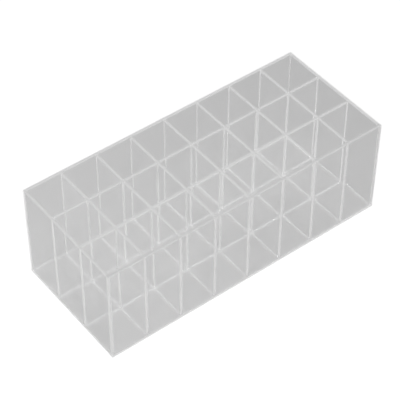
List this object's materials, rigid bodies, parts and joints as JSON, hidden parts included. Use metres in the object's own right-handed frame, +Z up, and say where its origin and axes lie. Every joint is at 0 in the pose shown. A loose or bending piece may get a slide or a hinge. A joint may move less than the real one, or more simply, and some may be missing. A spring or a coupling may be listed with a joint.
{
  "type": "vanity organizer",
  "caption": "Open-topped clear acrylic box, divided by a lift-out grid of slotted sheets into upright cells for lipsticks, brushes and small bottles.",
  "frame": {"origin": "middle of the base sheet's underside", "axes": "+X along the box to the right, +Y from front to back, +Z up"},
  "size_m": [0.2252, 0.0952, 0.078],
  "materials": {
    "wall_acrylic": "clear cast acrylic sheet, polished faces and pale sawn edges",
    "divider_acrylic": "clear cast acrylic sheet, polished faces and pale sawn edges"
  },
  "bodies": {
    "box": {"base_panel": "wall_acrylic", "front_wall": "wall_acrylic", "back_wall": "wall_acrylic", "left_end_wall": "wall_acrylic", "right_end_wall": "wall_acrylic"},
    "grid": {"long_divider_1": "divider_acrylic", "long_divider_2": "divider_acrylic"},
    "cross_divider_1": {"cross_divider_1": "divider_acrylic"},
    "cross_divider_2": {"cross_divider_2": "divider_acrylic"},
    "cross_divider_3": {"cross_divider_3": "divider_acrylic"},
    "cross_divider_4": {"cross_divider_4": "divider_acrylic"},
    "cross_divider_5": {"cross_divider_5": "divider_acrylic"},
    "cross_divider_6": {"cross_divider_6": "divider_acrylic"},
    "cross_divider_7": {"cross_divider_7": "divider_acrylic"}
  },
  "joints": [
    {"name": "grid_lift", "type": "slide", "parent": "box", "child": "grid", "axis": [0, 0, 1], "range_m": [0, 0.09]},
    {"name": "cross_divider_1_lift", "type": "slide", "parent": "grid", "child": "cross_divider_1", "axis": [0, 0, 1], "range_m": [0, 0.09]},
    {"name": "cross_divider_2_lift", "type": "slide", "parent": "grid", "child": "cross_divider_2", "axis": [0, 0, 1], "range_m": [0, 0.09]},
    {"name": "cross_divider_3_lift", "type": "slide", "parent": "grid", "child": "cross_divider_3", "axis": [0, 0, 1], "range_m": [0, 0.09]},
    {"name": "cross_divider_4_lift", "type": "slide", "parent": "grid", "child": "cross_divider_4", "axis": [0, 0, 1], "range_m": [0, 0.09]},
    {"name": "cross_divider_5_lift", "type": "slide", "parent": "grid", "child": "cross_divider_5", "axis": [0, 0, 1], "range_m": [0, 0.09]},
    {"name": "cross_divider_6_lift", "type": "slide", "parent": "grid", "child": "cross_divider_6", "axis": [0, 0, 1], "range_m": [0, 0.09]},
    {"name": "cross_divider_7_lift", "type": "slide", "parent": "grid", "child": "cross_divider_7", "axis": [0, 0, 1], "range_m": [0, 0.09]}
  ]
}
